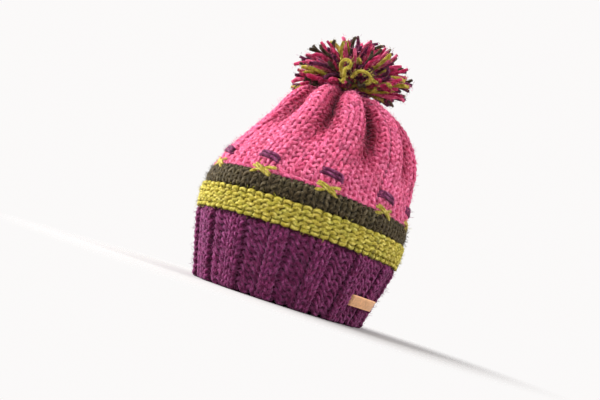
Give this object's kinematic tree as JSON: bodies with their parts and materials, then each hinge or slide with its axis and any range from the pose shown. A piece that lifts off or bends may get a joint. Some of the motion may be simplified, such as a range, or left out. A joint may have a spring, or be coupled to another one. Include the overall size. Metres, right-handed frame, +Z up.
{
  "type": "bobble hat",
  "caption": "Hand-knitted bobble hat with a ribbed brim, contrast bands, a gathered crown, a loose pompom and a leather tab at one side.",
  "frame": {"origin": "middle of the rim, on the surface the hat stands on", "axes": "+Z up through the crown to the pompom, front of the hat towards -Y, ears along X"},
  "size_m": [0.202, 0.2196, 0.2762],
  "materials": {
    "purple_wool": "soft knitted wool",
    "olive_wool": "soft knitted wool",
    "dark_wool": "soft knitted wool",
    "pink_wool": "soft knitted wool",
    "pompom_yarn": "cut yarn ends in mixed colours",
    "tan_leather": "smooth vegetable-tanned"
  },
  "bodies": {
    "root": {"ribbed_brim": "purple_wool", "garter_band": "olive_wool", "plain_band": "dark_wool", "gathered_crown": "pink_wool", "pompom": "pompom_yarn", "leather_tab": "tan_leather"}
  },
  "joints": []
}
